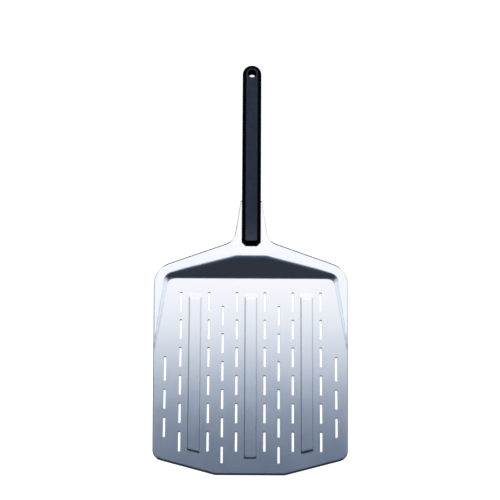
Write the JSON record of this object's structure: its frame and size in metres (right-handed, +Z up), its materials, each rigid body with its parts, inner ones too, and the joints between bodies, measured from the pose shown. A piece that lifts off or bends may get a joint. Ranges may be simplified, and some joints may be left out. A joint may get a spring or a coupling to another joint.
{
  "type": "pizza peel",
  "caption": "Short-handled pizza peel: slotted, ribbed aluminium blade stepped up to a moulded two-shell handle with a grip inlay and a hanging hole.",
  "frame": {"origin": "under the middle of the whole peel, on the plane that the blade rests on", "axes": "+Y from the blade's front edge to the handle's end, +Z up through the blade, +X across the blade"},
  "size_m": [0.3094, 0.655, 0.0275],
  "materials": {
    "anodised_aluminium": "satin bead-blasted and anodised",
    "black_nylon": "fine moulded texture",
    "slate_grip": "soft-touch, finely grained",
    "screw_steel": "machined",
    "insert_brass": "machined"
  },
  "bodies": {
    "root": {"blade": "anodised_aluminium", "handle_top_shell": "black_nylon", "handle_bottom_shell": "black_nylon", "top_grip_inlay": "slate_grip", "handle_screws": "screw_steel", "threaded_inserts": "insert_brass"}
  },
  "joints": []
}
